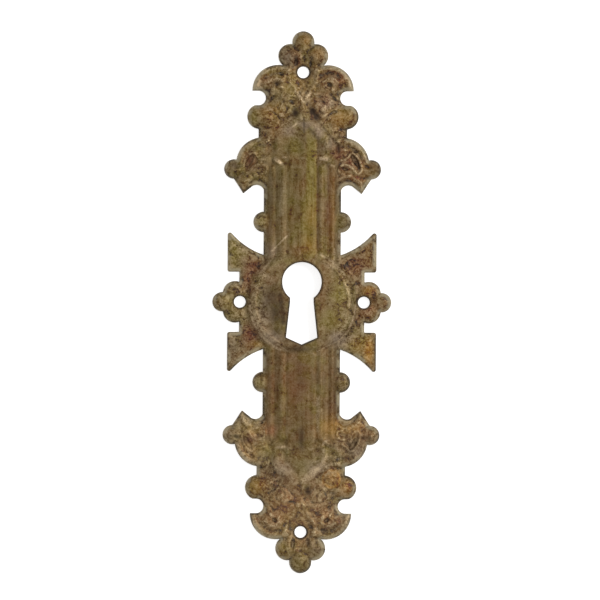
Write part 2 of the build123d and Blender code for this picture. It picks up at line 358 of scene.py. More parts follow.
def gable_relief(x, y):
    """The gable's two raking bands, crisp outside and sloping in, the field below, and two leaf tips."""
    rake = radians(gable_slope)
    across = x * sin(rake) + (y - gable_apex_y) * cos(rake)
    share = 1 - (across - gable_crest) / gable_outer
    outer = np.where(share > 0, leaf_swell + (gable_rise - leaf_swell) * ease(share), 0)
    inner = gable_rise - (gable_rise - field_rise) * ease((gable_crest - across) / gable_inner)
    band = np.where(across > gable_crest, outer, inner)
    band = band * ease((gable_foot_x + gable_foot_reach - x) / gable_foot_run)
    band = np.where(y > shaft_top_y - shaft_end_run, band, 0)
    tips = np.maximum.reduce([oval(x, y, *tip) for tip in leaf_tips])
    return np.maximum(band, np.where(tips > 0, leaf_tip_foot_rise + tips, 0))


def crocket_relief(x, y):
    """A curled leaf: its rim, a slit pocket in a wavy lip, a ball at its side, a foot and a flare."""
    raised = along_curves(x, y, [crocket_lip, crocket_flare, crocket_foot])
    raised += along_arcs(x, y, [crocket_rim])
    raised.append(swell(x, y, *crocket_ball))
    pits = [crocket_slit, crocket_pocket, crocket_bead_pit, crocket_lip_pit, crocket_gable_pit]
    cut = [oval(x, y, *pit) for pit in pits]
    cut += along_arcs(x, y, [crocket_groove])
    cut += along_curves(x, y, [crocket_vein])
    return np.maximum.reduce(raised) + sum(cut)


def head_relief(x, y):
    """The side lobe, the arched leaf and its eye, the volute, the calyx, and the lines cut into them."""
    raised = [oval(x, y, *mound) for mound in (leaf_body, *leaflets, calyx_bud)]
    raised += along_curves(x, y, [leaf_edge, leaf_back, leaf_arch, calyx_petal, calyx_stalk])
    raised += along_arcs(x, y, [leaf_rim])
    raised += [swell(x, y, *dome) for dome in (lobe_dome, volute_dome)]
    cut = [oval(x, y, *pit) for pit in (*apex_pits, leaf_eye, leaf_side_pit)]
    cut += along_arcs(x, y, [leaf_groove, lobe_groove])
    cut += along_curves(x, y, [volute_turns, leaf_vein])
    return np.maximum.reduce(raised) + sum(cut)


def finial_relief(x, y):
    """Two round petals, each with a deep groove and a vein, under a ball."""
    raised = np.maximum(swell(x, y, *petal_dome), swell(x, y, *finial_ball))
    return raised + oval(x, y, *petal_groove) + along_curves(x, y, [petal_vein])[0]


def lug_relief(x, y):
    """The domed lobes of a side lug, and the bead on the shaft's edge."""
    return np.maximum.reduce([swell(x, y, *dome) for dome in (lug_ball, lug_dome, shaft_ball)])


def blur(field, size):
    """The field smoothed over about that many millimetres."""
    reach = int(3 * size / pitch) + 1
    weight = np.exp(-0.5 * (np.arange(-reach, reach + 1) * pitch / size) ** 2)
    weight = weight / weight.sum()
    padded = np.pad(field, reach, mode="edge")
    rows = np.apply_along_axis(np.convolve, 0, padded, weight, mode="valid")
    return np.apply_along_axis(np.convolve, 1, rows, weight, mode="valid")


def relief(x, y, inset):
    """Rise of the face. Everything but the unevenness repeats in all four quarters."""
    u = abs(x)
    v = abs(y)
    main = np.maximum.reduce([shaft_relief(u, v), boss_relief(x, y), gable_relief(u, v), lug_relief(u, v)])
    ring = ridge(np.hypot(x, y) - boss_ring_radius, boss_ring_width, boss_ring_rise - boss_shoulder_rise)
    main = blur(main, form_blur) + ring * (ring_share + noise(x, y, ring_wave))

    ground = leaf_swell * (1 - np.exp(-((inset / leaf_swell_reach) ** leaf_swell_power)))
    forms = [crocket_relief(u, v), head_relief(u, v), finial_relief(u, v)]
    raised = np.maximum.reduce([np.maximum(form, 0) for form in forms])
    pits = sum(np.minimum(form, 0) for form in forms)
    bent_x = x + noise(x, y, curl_bends[0])
    bent_y = y + noise(x, y, curl_bends[1])
    curls = curl_lines[0] - 2 * abs(noise(bent_x, bent_y, curl_lines)) + noise(bent_x, bent_y, curl_bumps)
    curls = curls * np.clip(inset / curl_margin, 0, 1) * np.clip(1 - raised / curl_cover, curl_least, 1)
    leaves = blur(np.where(v > leaf_start_y, ground + raised + pits + curls, 0), leaf_blur)

    worn = sum(noise(x, y, wave) for wave in wear_waves)
    worn = worn * np.where((u < shaft_half) & (v < shaft_top_y), shaft_wear, 1)
    return np.maximum(main, leaves) + worn


# The solid's outline and back, found by rays along Z
solid_points = [vertex.co.copy() for vertex in solid.vertices]
solid_faces = [tuple(polygon.vertices) for polygon in solid.polygons]
solid_tree = BVHTree.FromPolygons(solid_points, solid_faces)


def back_at(x, y):
    """Where a ray up from below meets the solid's back, or None beside the plate."""
    return solid_tree.ray_cast(Vector((x * MM, y * MM, ray_start * MM)), UP)[0]


def crossing(inner, outer):
    """The point where the plate ends, between one on it and one beside it."""
    for _ in range(halvings):
        middle = ((inner[0] + outer[0]) / 2, (inner[1] + outer[1]) / 2)
        if back_at(*middle) is None:
            outer = middle
        else:
            inner = middle
    return inner


def grid_of_points():
    """The skin's square grid, and which of its points are on the plate."""
    columns = int(cad_high.x / MM / pitch) + 2
    rows = int(cad_high.y / MM / pitch) + 2
    x = np.arange(-columns, columns + 1) * pitch
    y = np.arange(-rows, rows + 1) * pitch
    on = np.array([[back_at(a, b) is not None for b in y] for a in x])
    return x, y, on


def sample(field, x, y, points):
    """The field's value at some points, from the grid points around them."""
    u = (points[:, 0] - x[0]) / pitch
    v = (points[:, 1] - y[0]) / pitch
    i = np.clip(np.floor(u).astype(int), 0, len(x) - 2)
    j = np.clip(np.floor(v).astype(int), 0, len(y) - 2)
    return between(field, i, j, u - i, v - j)


def skin_cells(x, y, on):
    """Points and faces of the grid cut to the outline, its cut edges, and the way in from cut points."""
    number = -np.ones(on.shape, int)
    number[on] = np.arange(on.sum())
    points = [(x[i], y[j]) for i, j in np.argwhere(on)]
    inward = {}
    cuts = {}
    faces = []
    rims = []

    def cut(a, b):
        """The cut point on the grid line between a point on the plate and one beside it."""
        key = (a, b) if on[a] else (b, a)
        if key not in cuts:
            inner = (x[key[0][0]], y[key[0][1]])
            outer = (x[key[1][0]], y[key[1][1]])
            cuts[key] = len(points)
            points.append(crossing(inner, outer))
            inward[cuts[key]] = (inner[0] - outer[0], inner[1] - outer[1])
        return cuts[key]

    filled = on[:-1, :-1].astype(int) + on[1:, :-1] + on[1:, 1:] + on[:-1, 1:]
    for i, j in np.argwhere(filled == 4):
        faces.append((number[i, j], number[i + 1, j], number[i + 1, j + 1], number[i, j + 1]))
    for i, j in np.argwhere((filled > 0) & (filled < 4)):
        ring = [(i, j), (i + 1, j), (i + 1, j + 1), (i, j + 1)]
        face = []
        leaving = []
        for a, b in zip(ring, ring[1:] + ring[:1]):
            if on[a]:
                face.append(number[a])
            if on[a] != on[b]:
                face.append(cut(a, b))
                if on[a]:
                    leaving.append(len(face) - 1)
        faces.append(tuple(face))
        for place in leaving:
            rims.append((face[place], face[(place + 1) % len(face)]))
    return np.array(points), faces, rims, inward


def edge_distances(points, rims):
    """Each point's distance from the nearest edge, and whether that edge is a piercing's."""
    starts = points[[a for a, b in rims]]
    ends = points[[b for a, b in rims]]
    middles = (starts + ends) / 2
    runs = ends - starts
    edge_tree = KDTree(len(rims))
    for index, (middle_x, middle_y) in enumerate(middles):
        edge_tree.insert((middle_x, middle_y, 0), index)
    edge_tree.balance()
    near = np.array([[hit[1] for hit in edge_tree.find_n((x, y, 0), edges_tried)] for x, y in points])
    gap = points[:, None, :] - starts[near]
    share = (gap * runs[near]).sum(axis=2) / np.maximum((runs[near] ** 2).sum(axis=2), tiny)
    gap = gap - np.clip(share, 0, 1)[:, :, None] * runs[near]
    gap = np.sqrt((gap**2).sum(axis=2))

    pierced = np.hypot(middles[:, 0], middles[:, 1]) < boss_ring_radius
    for pin_x, pin_y in ((side_pin_x, 0), (0, end_pin_y)):
        off_pin = np.hypot(abs(middles[:, 0]) - pin_x, abs(middles[:, 1]) - pin_y)
        pierced = pierced | (off_pin < pin_reach)
    nearest = near[np.arange(len(points)), gap.argmin(axis=1)]
    return gap.min(axis=1), pierced[nearest]


# Height of the face, rounded at its edges, and how proud or sunk each place is
x, y, on = grid_of_points()
points, faces, rims, inward = skin_cells(x, y, on)
inset, by_hole = edge_distances(points, rims)
grid_x, grid_y = np.meshgrid(x, y, indexing="ij")
grid_inset = np.zeros(on.shape)
grid_inset[on] = inset[: on.sum()]
rise = relief(grid_x, grid_y, grid_inset)
proud = sample(rise - blur(rise, proud_span), x, y, points)
sunk = sample(blur(rise, sunk_span) - rise, x, y, points)
short = np.clip(edge_round - inset, 0, None)
rounding = edge_round - np.sqrt(np.clip(edge_round**2 - short**2, 0, None))
height = sheet + sample(rise, x, y, points) - rounding * edge_drop
height = np.clip(height, lowest_face, cad_high.z / MM - headroom)

# Walls down from the skin's edge to the solid's back
foot_of = {}
foot_points = []
for vertex in sorted(inward):
    step = np.array(inward[vertex])
    step = step / np.hypot(*step) * rim_nudge
    below = back_at(*(points[vertex] + step))
    foot = below.z / MM if below is not None else 0.0
    foot_of[vertex] = len(points) + len(foot_points)
    foot_points.append((points[vertex][0], points[vertex][1], min(foot, height[vertex] - least_wall)))
walls = [(b, a, foot_of[a], foot_of[b]) for a, b in rims]

# The back: the solid's own faces that look down or line a hollow
back_faces = []
for face, polygon in zip(solid_faces, solid.polygons):
    outside = polygon.center / MM + polygon.normal * wall_nudge
    lines_hollow = abs(polygon.normal.z) <= upright and back_at(outside.x, outside.y) is not None
    if polygon.normal.z < -upright or (lines_hollow and polygon.center.z < hollow_wall_top * MM):
        back_faces.append(face)

# The plate's mesh: the skin, its walls and the back
skin_points = [(p[0] * MM, p[1] * MM, h * MM) for p, h in zip(points, height)]
skin_points += [(a * MM, b * MM, c * MM) for a, b, c in foot_points]
used = sorted({v for face in back_faces for v in face})
renumber = {v: len(skin_points) + k for k, v in enumerate(used)}
all_points = skin_points + [tuple(solid_points[v]) for v in used]
all_faces = faces + walls + [tuple(renumber[v] for v in face) for face in back_faces]
skin = bpy.data.meshes.new("plate_skin")
skin.from_pydata(all_points, [], all_faces)
skin.update()
smooth = np.zeros(len(all_faces), bool)
smooth[: len(faces) + len(walls)] = True
skin.polygons.foreach_set("use_smooth", smooth)
rim_set = set(inward)
foot_set = set(foot_of.values())
for edge in skin.edges:
    a, b = edge.vertices
    if (a in rim_set and b in rim_set) or (a in foot_set and b in foot_set):
        edge.use_edge_sharp = True

# Stains and wear, with some painted shade and painted highlights among them, as the photograph shows them:
# soft round patches, each the place of its centre across and up, its reach across and up, and a strength
gold_spots = [
    (12.2, -8.8, 1.0, 2.4, 1.05),
    (10.2, -7.6, 1.6, 1.2, 0.35),
    (-7.6, -7.6, 1.6, 0.7, 0.4),
    (12.0, 8.6, 0.9, 2.2, 0.2),
    (0.3, 47.0, 1.3, 1.2, 0.5),
    (2.6, 44.6, 1.2, 1.3, 0.4),
    (-5.2, 34.4, 2.2, 1.6, 0.5),
    (-4.6, 31.2, 1.8, 1.8, 0.3),
    (6.4, 33.0, 2.2, 1.8, 0.55),
    (8.4, -33.2, 1.8, 1.6, 0.5),
    (5.8, -31.4, 1.7, 1.6, 0.55),
    (5.8, -22.4, 2.2, 1.8, 0.8),
    (9.2, -22.6, 2.0, 1.4, 0.6),
    (-8.4, -23.0, 2.4, 1.4, 0.35),
    (-9.0, -26.4, 1.8, 1.4, 0.5),
    (11.6, 23.4, 2.0, 1.6, 0.3),
    (1.5, 10.4, 1.4, 2.0, 0.35),
    (1.7, 15.0, 1.0, 3.0, 0.35),
    (5.5, 17.0, 0.6, 7.0, 0.3),
    (11.9, 2.3, 1.3, 1.0, 0.6),
    (-7.8, -33.2, 1.8, 1.6, 0.45),
    (-1.0, -38.0, 6.0, 5.0, 0.25),
    (0.0, 39.0, 6.0, 5.0, 0.15),
]
red_spots = [
    (-8.9, 6.2, 1.6, 1.4, 0.9),
    (0.0, 9.6, 1.8, 0.8, 0.5),
    (-9.6, 4.0, 1.0, 2.0, 0.8),
    (-9.4, -6.2, 1.5, 1.7, 0.9),
    (-9.4, 25.6, 1.0, 1.5, 0.8),
    (-1.2, 43.5, 0.7, 1.2, 1.0),
    (1.9, 34.2, 0.7, 1.0, 0.9),
    (6.6, 27.0, 1.0, 1.4, 0.9),
    (8.8, 25.4, 1.8, 1.8, 0.7),
    (9.0, 22.2, 1.8, 1.0, 0.8),
    (6.4, 40.4, 2.4, 1.6, 0.8),
    (-6.2, 40.0, 1.6, 1.0, 0.6),
    (3.6, 35.6, 1.8, 1.8, 0.5),
    (5.0, 16.0, 0.7, 6.0, 0.6),
    (9.6, 6.2, 1.6, 1.8, 0.6),
    (-0.8, -14.6, 2.6, 5.0, 0.55),
    (-5.4, -16.0, 1.2, 5.0, 0.4),
    (5.4, -16.0, 1.2, 5.0, 0.4),
    (-5.4, -23.0, 1.2, 1.1, 1.0),
    (-9.0, -24.6, 1.6, 1.2, 0.6),
    (11.0, -24.2, 2.4, 1.8, 0.6),
    (1.6, -34.0, 0.8, 1.0, 0.7),
    (2.2, -31.8, 1.0, 1.2, 0.4),
    (-4.0, -37.8, 3.0, 2.6, 0.55),
    (-1.6, -35.6, 4.0, 2.4, 0.45),
    (4.6, -38.4, 3.0, 2.4, 0.6),
    (0.6, -42.6, 2.0, 2.0, 0.5),
    (11.6, -1.4, 1.6, 1.6, 0.6),
    (-5.6, 13.0, 1.0, 4.0, 0.25),
]
olive_spots = [
    (-3.2, 19.5, 2.6, 7.0, 0.5),
    (-0.6, 12.0, 2.0, 4.0, 0.4),
    (-1.4, 28.0, 2.0, 2.4, 0.6),
    (7.0, 1.8, 1.6, 3.4, 0.9),
    (5.6, -3.4, 1.8, 2.4, 0.8),
    (9.8, -7.8, 1.3, 1.2, 0.8),
    (11.0, -7.0, 1.4, 1.4, 1.0),
    (-7.6, -7.6, 1.8, 0.8, 0.8),
    (-6.4, -26.6, 2.0, 1.8, 0.8),
    (0.2, -29.4, 2.0, 2.0, 0.7),
    (-9.0, 33.2, 1.2, 1.8, 0.9),
    (-12.4, 9.2, 1.2, 2.6, 0.9),
    (-12.4, -9.0, 1.2, 2.6, 0.4),
    (-2.0, 38.5, 1.6, 2.8, 0.7),
    (-4.8, 41.0, 1.8, 1.2, 0.6),
    (-8.6, 21.8, 2.2, 1.2, 0.8),
    (-8.6, 27.8, 1.6, 1.2, 0.8),
    (-13.0, 0.0, 2.2, 2.2, 0.6),
    (-9.0, -33.0, 1.6, 1.4, 0.8),
    (-3.0, -44.0, 1.6, 1.6, 0.7),
    (0.0, -46.8, 1.6, 1.4, 0.6),
    (7.4, 14.6, 1.4, 1.2, 0.6),
    (-7.5, 14.5, 1.4, 1.2, 0.7),
    (-7.5, -14.5, 1.4, 1.2, 0.7),
    (7.6, 33.6, 1.6, 1.4, 0.4),
]
grey_spots = [
    (0.2, 32.0, 1.4, 1.0, 0.8),
    (2.6, 30.6, 1.6, 1.2, 0.8),
    (-2.4, 30.6, 1.6, 1.2, 0.7),
    (4.8, 28.6, 1.2, 1.2, 0.6),
    (-2.8, 43.9, 1.4, 1.6, 0.7),
    (6.6, -6.4, 1.9, 1.4, 1.0),
    (-5.4, -6.4, 2.0, 1.3, 0.9),
    (-5.6, 9.2, 1.4, 1.4, 0.6),
    (-3.8, 19.0, 0.9, 5.0, 0.4),
    (-12.4, -9.0, 1.2, 2.6, 0.6),
    (-6.6, -1.6, 1.4, 3.4, 0.6),
    (-3.0, -30.0, 2.4, 1.6, 0.6),
    (3.0, -29.8, 2.4, 1.6, 0.7),
    (10.6, -26.8, 1.8, 1.4, 0.7),
    (3.8, -44.6, 1.4, 1.2, 0.3),
    (4.4, 35.6, 1.6, 1.2, 0.6),
    (-4.2, 36.6, 1.4, 1.2, 0.3),
]
dark_spots = [
    # Darker on the boss's left side, away from the key lamp: painted shade over darker tarnish.
    (-5.6, 0.8, 1.9, 2.6, 0.6),
    (-4.4, -5.0, 0.9, 1.2, 0.5),
    # Painted shade on the boss's left side, over darker tarnish.
    (-4.6, -1.8, 1.2, 2.6, 0.8),
    (-10.2, 6.6, 1.6, 1.2, 0.3),
    (-10.2, -6.8, 1.6, 1.4, 0.3),
    (10.0, 7.0, 1.4, 1.4, 0.1),
    (-0.6, -8.4, 2.2, 0.7, 0.75),
    (0.1, -24.4, 0.6, 2.2, 0.8),
    (0.0, -14.0, 1.4, 4.0, 0.4),
    (2.4, -13.5, 1.2, 3.0, 0.3),
    (0.0, -20.0, 1.2, 3.0, 0.25),
    (-5.4, -14.0, 0.9, 4.0, 0.25),
    (0.0, 28.0, 0.9, 3.0, 0.35),
    (-1.3, 21.0, 0.9, 5.0, 0.25),
    (7.6, 14.6, 1.2, 1.2, 0.5),
    (-5.4, 18.0, 0.8, 8.0, 0.5),
    (5.8, -15.0, 1.0, 7.0, 0.45),
    (5.9, 17.0, 0.7, 8.0, 0.35),
    (-1.3, 33.9, 0.65, 0.75, 1.2),
    (-1.1, 43.3, 0.4, 1.0, 0.8),
    (-6.4, 37.6, 0.5, 1.0, 0.8),
    (1.8, 34.2, 0.7, 0.8, 1.6),
    (2.4, 33.4, 0.65, 0.8, 1.5),
    (1.3, -33.8, 0.65, 0.9, 1.1),
    (-1.6, -33.9, 0.5, 0.7, 0.2),
    (-7.0, 36.8, 0.9, 1.4, 0.9),
    (-9.4, 25.4, 0.6, 1.3, 0.4),
    (9.2, 25.8, 0.4, 0.6, 0.2),
    (6.4, 27.6, 0.45, 1.2, 0.9),
    (12.8, 24.0, 1.2, 0.9, 0.5),
    (-12.2, 24.4, 0.8, 0.7, 0.7),
    (-13.0, -24.2, 0.8, 0.5, 0.45),
    (-11.6, -24.2, 0.7, 0.5, 0.6),
    (-10.2, -24.9, 0.8, 0.5, 0.5),
    (8.6, -25.5, 0.45, 0.5, 0.8),
    (9.7, -25.2, 0.5, 0.4, 0.7),
    (8.8, -26.6, 0.5, 0.5, 0.6),
    (11.1, -24.4, 0.45, 0.5, 0.7),
    (12.3, -24.4, 0.45, 0.5, 0.6),
    (0.0, -29.0, 1.3, 1.3, 0.2),
    (5.0, 32.0, 1.2, 1.1, 0.25),
    (5.5, 40.5, 1.4, 0.9, 0.35),
    (6.0, -40.0, 1.6, 1.2, 0.28),
    (-6.0, -40.0, 1.4, 1.0, 0.16),
    (9.0, 25.0, 1.5, 1.5, 0.22),
    (8.9, 0.0, 0.5, 1.2, 0.35),
    (2.6, 44.0, 1.3, 1.3, 0.3),
    (-2.8, 44.0, 1.3, 1.3, 0.2),
    (-3.2, 27.0, 1.0, 1.0, 0.18),
    (2.6, -44.0, 1.3, 1.3, 0.42),
    (0.0, -46.8, 1.2, 1.2, 0.16),
    (0.2, 46.6, 1.4, 1.2, 0.35),
    (1.8, 13.0, 1.0, 2.5, 0.15),
    (4.0, -14.0, 0.7, 3.0, 0.2),
    (9.5, 21.5, 1.0, 0.8, 0.15),
    (4.8, 39.0, 0.5, 0.5, 0.8),
    (-4.6, 39.4, 1.0, 0.6, 0.7),
    (1.0, 44.6, 0.5, 1.4, 0.4),
]
pale_and_glint_spots = [
    (0.2, 36.2, 0.7, 0.5, 1.0),
    (-0.8, 37.6, 0.5, 0.8, 0.5),
    (-5.8, -6.6, 1.4, 0.5, 0.5),
    (-8.2, -2.6, 0.35, 1.8, 0.3),
    (5.6, 6.6, 1.2, 0.5, 0.6),
    (-6.0, 4.2, 1.1, 1.0, 0.3),
    (-6.2, -4.0, 1.0, 1.2, 0.25),
    (-11.6, -27.2, 0.8, 0.8, 0.6),
    (-13.5, -23.5, 0.9, 0.9, 0.8),
    (-9.5, -21.5, 1.0, 0.7, 0.5),
    (-8.0, -22.3, 0.6, 0.5, 0.45),
    (-9.2, -26.6, 0.6, 0.6, 0.6),
    (-8.3, -25.4, 0.5, 0.5, 0.45),
    (-10.6, -22.6, 0.6, 0.5, 0.5),
    (10.1, -24.7, 0.4, 0.4, 0.7),
    (9.0, -24.8, 0.4, 0.35, 0.6),
    (-9.4, 26.6, 0.35, 0.35, 0.6),
    # Painted highlights: a pale smear and a glint on the head's left lobe.
    (-5.8, 34.7, 0.9, 0.4, 0.6),
    (-3.9, 33.6, 0.3, 0.3, 0.8),
    (-9.5, 21.5, 0.9, 0.6, 0.35),
    (-2.0, 30.8, 0.8, 0.8, 0.2),
    (9.5, -21.4, 1.0, 0.6, 0.3),
    (-11.8, -2.5, 0.9, 0.7, 0.3),
    (-14.6, 0.0, 0.8, 0.8, 0.22),
    (13.5, -24.0, 0.9, 0.9, 0.35),
    (-13.4, 24.0, 0.8, 0.8, 0.2),
    (11.0, 3.0, 0.9, 0.7, 0.2),
    (7.6, -14.6, 0.9, 0.9, 0.12),
    (8.0, 39.4, 0.5, 1.2, 0.4),
    (8.4, -38.4, 0.9, 0.35, 0.5),
    (-8.0, 39.6, 0.5, 1.0, 0.5),
]
worn_spots = [
    (0.0, -38.0, 9.0, 9.0, 1.5),
    (-9.5, -25.0, 4.5, 4.0, 1.5),
    (9.5, -25.0, 4.5, 4.0, 1.4),
    (0.0, 38.0, 9.0, 7.0, 0.35),
    (-9.5, 25.0, 4.0, 4.0, 0.4),
    (9.5, 25.0, 4.0, 4.0, 0.3),
    (7.0, 0.0, 6.0, 6.0, 0.3),
    (-12.5, 0.0, 2.4, 9.0, 0.6),
    (-7.4, -5.0, 1.4, 2.4, 0.8),
    (4.6, -7.6, 2.4, 1.8, 1.2),
    (-4.2, 6.9, 2.2, 1.6, 1.3),
    (5.2, 6.6, 1.8, 1.8, 1.0),
    (-7.0, -28.0, 1.2, 1.0, 2.4),
    (7.0, -28.0, 1.2, 1.0, 1.8),
    (-7.0, 28.0, 1.2, 1.0, 1.4),
    (-7.6, 14.5, 1.2, 1.2, 1.2),
    (-7.6, -14.5, 1.2, 1.2, 1.4),
    (-2.5, -26.5, 1.2, 0.9, 1.2),
    (-6.8, 2.4, 0.9, 1.6, 1.0),
]
rubbed_spots = [
    (-9.0, -25.0, 4.0, 4.5, 0.9),
    (9.0, -25.0, 4.0, 4.5, 0.75),
    (-9.0, 25.0, 4.0, 4.5, 0.8),
    (0.0, -38.0, 8.0, 8.0, 0.25),
]

# Straight marks, each two ends, a width and a strength
dark_lines = [
    ((0.2, 33.1), (0.2, 30.4), 0.5, 0.7),
    # Painted shade over darker tarnish along the left of the keyhole, on the boss's shaded side.
    ((-3.9, 1.2), (-3.3, -3.6), 1.4, 0.8),
    ((-3.05, 9.5), (-3.05, 25.0), 0.9, 0.25),
    ((2.75, 9.8), (2.75, 29.5), 0.6, 0.45),
    ((4.6, 12.0), (4.6, 25.0), 0.6, 0.4),
    # Painted shadow under the finial ball, on both sides.
    ((-1.8, 46.0), (-0.9, 45.3), 0.6, 0.8),
    ((0.7, 45.1), (1.8, 45.8), 0.6, 0.8),
    ((2.7, 32.6), (6.2, 28.4), 0.6, 0.5),
    ((1.1, 31.3), (3.4, 28.6), 0.5, 0.4),
    ((0.0, -32.2), (0.1, -34.4), 0.5, 0.6),
]
rubbed_and_glint_lines = [
    ((0.6, -32.2), (3.0, -29.7), 1.6, 0.75),
    ((3.0, -29.7), (4.8, -27.8), 1.6, 0.4),
    ((-0.8, -32.5), (-5.0, -28.5), 1.2, 0.35),
    ((-0.45, 45.0), (-0.35, 42.9), 0.45, 0.5),
    ((3.0, -17.0), (3.0, -23.0), 0.8, 0.4),
    ((-1.3, 37.9), (0.0, 36.3), 0.7, 1.1),
    ((1.3, 37.6), (0.3, 36.3), 0.7, 1.0),
    # Painted glint on the upper gable's left side.
    ((-1.7, 31.6), (-1.2, 32.0), 0.5, 0.8),
    # Painted glint on the left leaf tip.
    ((-4.9, 25.7), (-3.8, 24.8), 0.75, 1.3),
    ((-3.5, 26.0), (-2.9, 25.9), 0.5, 0.6),
    ((3.2, 25.8), (4.5, 25.7), 0.75, 1.2),
    ((4.7, 24.9), (5.6, 24.4), 0.5, 0.5),
    ((-4.3, -26.1), (-3.0, -26.0), 0.5, 0.8),
    ((4.0, -25.6), (4.6, -24.8), 0.6, 0.7),
    ((4.1, -26.4), (4.1, -27.4), 0.5, 0.5),
    ((-2.7, 11.9), (-5.5, 9.1), 0.36, 0.9),
    ((5.8, 9.6), (5.9, 7.6), 0.34, 0.7),
    ((-8.7, -2.4), (-6.6, -5.8), 0.34, 0.6),
    ((-9.2, -1.6), (-7.2, -5.0), 0.34, 0.5),
    ((-7.6, 5.2), (-5.6, 7.4), 0.34, 0.5),
    ((4.6, 8.2), (7.2, 5.0), 0.34, 0.6),
    ((7.2, 4.6), (8.5, 1.6), 0.34, 0.15),
    ((8.5, 1.4), (8.4, -2.0), 0.34, 0.1),
    ((-12.7, 10.6), (-9.2, 8.3), 0.34, 0.5),
    ((-4.6, -7.4), (-2.6, -8.8), 0.34, 0.5),
    ((2.8, -8.8), (6.0, -7.2), 0.34, 0.4),
    ((-12.2, 3.6), (-10.6, 1.4), 0.3, 0.4),
]
# The right facet of the shaft's panel, which faces the key lamp: painted light, tinted olive gold.
lit_facet = [((1.55, 9.0), (1.55, 30.6), 1.9, 1.0), ((1.1, 9.0), (1.1, 17.0), 2.9, 0.8)]
lit_facet_fullness = 0.25

# Curved marks, each a centre, a radius, two angles, a width and a strength
gold_arcs = [((5.5, -31.7), 1.5, -180, 180, 0.7, 0.8)]
rubbed_arcs = [
    ((0, 0), 9.35, 184, 246, 0.55, 1.0),
    ((0, 0), 9.7, -46, -4, 0.55, 0.9),
    ((0, 0), 9.15, 34, 68, 0.55, 0.6),
    ((-crocket[0], -crocket[1]), 4.3, 190, 238, 0.9, 0.7),
    ((-crocket[0], crocket[1]), 4.4, 122, 162, 0.8, 0.4),
    ((-leaf[0], leaf[1]), 4.2, 115, 176, 0.9, 0.4),
    ((-leaf[0], -leaf[1]), 4.3, 184, 240, 0.8, 0.4),
]

# Parts that wear in their own way: balls, each a centre and a radius, and how uneven, streaked or plain
# the colour of each part is
balls = [
    ((shaft_half, shaft_bead_y), shaft_bead_radius),
    (lug_bead, lug_bead_radius),
    (lug_lobe, lug_lobe_radius),
    (crocket_bead, crocket_bead_radius),
    (lobe, lobe_radius),
    (finial_lobe, finial_lobe_radius),
    (finial_bead, finial_bead_radius),
]
ball_fullness = 0.5
uneven_rough_leaves = 1.5
uneven_leaves = 1.25
uneven_shaft = 0.7
uneven_gable = 1.0
uneven_plain = 1.65
uneven_back = 0.6
rough_leaf_y = gable_apex_y - 4
streaks_above = 1.5
streaks_below = 1.0
boss_plainness = 0.5
gable_margin = 1
far_off = 9.0
wall_inset = 1.5

at_x, at_y = points.T
u = abs(at_x)
v = abs(at_y)


def spots(places):
    """The most of some soft round patches at each point."""
    amount = np.zeros(len(points))
    for centre_x, centre_y, reach_x, reach_y, strength in places:
        far = ((at_x - centre_x) / reach_x) ** 2 + ((at_y - centre_y) / reach_y) ** 2
        amount = np.maximum(amount, strength * np.exp(-far))
    return amount


def lines(marks, fullness=1):
    """The most of some straight marks at each point, full at the middle and soft at the sides."""
    off = [(off_line(at_x, at_y, start, end), width, strength) for start, end, width, strength in marks]
    return np.maximum.reduce([ridge(*mark, fullness) for mark in off])


def arcs(marks):
    """The most of some curved marks at each point."""
    return np.maximum.reduce(along_arcs(at_x, at_y, marks))


def attribute(name, values, elsewhere=0.0):
    """Keeps a value at each point of the skin. The rest of the plate takes one value."""
    full = np.full(len(all_points), elsewhere, np.float32)
    full[: len(values)] = values
    skin.attributes.new(name, "FLOAT", "POINT").data.foreach_set("value", full)


from_middle = np.hypot(at_x, at_y)
on_boss = from_middle < boss_radius
on_shaft = (u < shaft_half - shaft_rim) & (v < shaft_top_y) & (from_middle > boss_radius)
beyond_shaft = (u > shaft_half - shaft_rim) | (v > gable_apex_y)
under_gable = v < gable_apex_y + gable_margin - u * tan(radians(gable_slope))
on_gable = under_gable & ~beyond_shaft
leafy = (v > leaf_start_y) & beyond_shaft & ~(under_gable & (u < gable_foot_x))
rough_leaves = leafy & ((v > rough_leaf_y) | (at_y < 0))
uneven = np.select(
    [rough_leaves, leafy, on_shaft, on_gable],
    [uneven_rough_leaves, uneven_leaves, uneven_shaft, uneven_gable],
    uneven_plain,
)
rubbed = spots(rubbed_spots)

attribute("proud", proud)
attribute("sunk", sunk)
attribute("inset", inset, wall_inset)
attribute("rim", np.where(by_hole, far_off, inset), wall_inset)
attribute("hole", np.where(by_hole, inset, far_off), far_off)
attribute("behind", np.zeros(len(skin_points)), 1.0)
attribute("ball", np.maximum.reduce([swell(u, v, *ball, 1, ball_fullness) for ball in balls]))
attribute("gold", np.maximum(spots(gold_spots), arcs(gold_arcs)))
attribute("red", spots(red_spots))
# The olive tint is a stain, and it also carries the painted light of the panel's lit facet.
attribute("olive", np.maximum(spots(olive_spots), lines(lit_facet, lit_facet_fullness)))
attribute("grey", spots(grey_spots))
# The dark tint is mostly pits and dirt, with painted shade under the finial ball and on the boss's left
# side.
attribute("dark", np.maximum(spots(dark_spots), lines(dark_lines)))
# The pale tint is rubbing and scratches, with a few painted glints and highlights among them.
attribute("pale", np.maximum.reduce([spots(pale_and_glint_spots), lines(rubbed_and_glint_lines), arcs(rubbed_arcs)]))
attribute("worn", spots(worn_spots))
attribute("rubbed", rubbed)
attribute("leafy", leafy * (1 - rubbed))
attribute("plain", np.maximum(on_shaft | on_gable, boss_plainness * on_boss))
attribute("shaft", on_shaft * np.where(at_y > 0, streaks_above, streaks_below))
attribute("busy", uneven, uneven_back)

plate = bpy.data.objects.new("plate", skin)
bpy.context.scene.collection.objects.link(plate)


